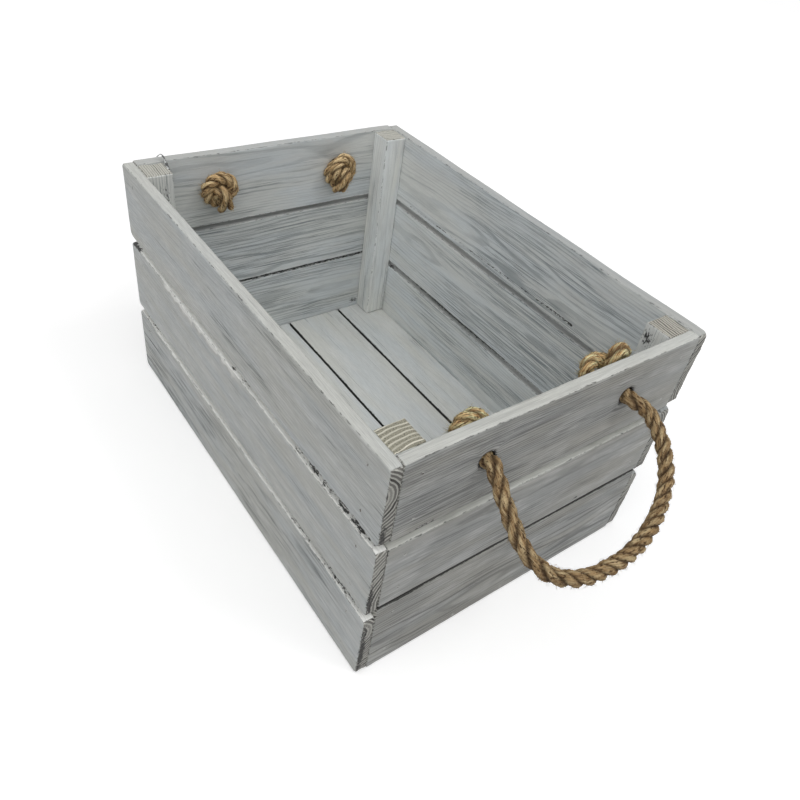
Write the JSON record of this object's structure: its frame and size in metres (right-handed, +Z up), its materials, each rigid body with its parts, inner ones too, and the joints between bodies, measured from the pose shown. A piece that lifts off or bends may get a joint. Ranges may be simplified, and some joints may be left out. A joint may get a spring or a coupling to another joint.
{
  "type": "slatted wooden crate with rope handles",
  "caption": "Open-topped slatted wooden crate: plank walls nailed to corner posts, a plank floor, and a knotted rope loop through each end as a swinging handle.",
  "frame": {"origin": "on the ground under the middle of the crate", "axes": "+Z up, +X along the crate's length towards the end whose handle the picture shows, +Y across towards the far long wall"},
  "size_m": [0.6514, 0.326, 0.25],
  "materials": {
    "side_board_wood": "thin matt whitewash, rubbed through to dark grain",
    "end_board_wood": "thin matt whitewash, rubbed through to dark grain",
    "post_wood": "thin matt whitewash, growth rings showing on the sawn top",
    "floor_wood": "thin matt whitewash",
    "jute_rope": "three-strand natural fibre, dull and hairy",
    "nail_steel": "dull, painted over in places"
  },
  "bodies": {
    "crate": {"front_lower_board": "side_board_wood", "front_middle_board": "side_board_wood", "front_upper_board": "side_board_wood", "back_lower_board": "side_board_wood", "back_middle_board": "side_board_wood", "back_upper_board": "side_board_wood", "right_lower_board": "end_board_wood", "right_middle_board": "end_board_wood", "right_upper_board": "end_board_wood", "left_lower_board": "end_board_wood", "left_middle_board": "end_board_wood", "left_upper_board": "end_board_wood", "front_right_post": "post_wood", "back_right_post": "post_wood", "front_left_post": "post_wood", "back_left_post": "post_wood", "front_floor_board": "floor_wood", "front_inner_floor_board": "floor_wood", "centre_floor_board": "floor_wood", "back_inner_floor_board": "floor_wood", "back_floor_board": "floor_wood", "front_right_knot": "jute_rope", "back_right_knot": "jute_rope", "front_left_knot": "jute_rope", "back_left_knot": "jute_rope", "front_nails": "nail_steel", "back_nails": "nail_steel", "right_nails": "nail_steel", "left_nails": "nail_steel", "floor_nails": "nail_steel"},
    "right_handle": {"right_handle_loop": "jute_rope"},
    "left_handle": {"left_handle_loop": "jute_rope"}
  },
  "joints": [
    {"name": "right_handle_swing", "type": "hinge", "parent": "crate", "child": "right_handle", "pos_m": [0.237, 0, 0.216], "axis": [0, -1, 0], "range_deg": [-55, 125]},
    {"name": "left_handle_swing", "type": "hinge", "parent": "crate", "child": "left_handle", "pos_m": [-0.237, 0, 0.216], "axis": [0, 1, 0], "range_deg": [-55, 125]}
  ]
}
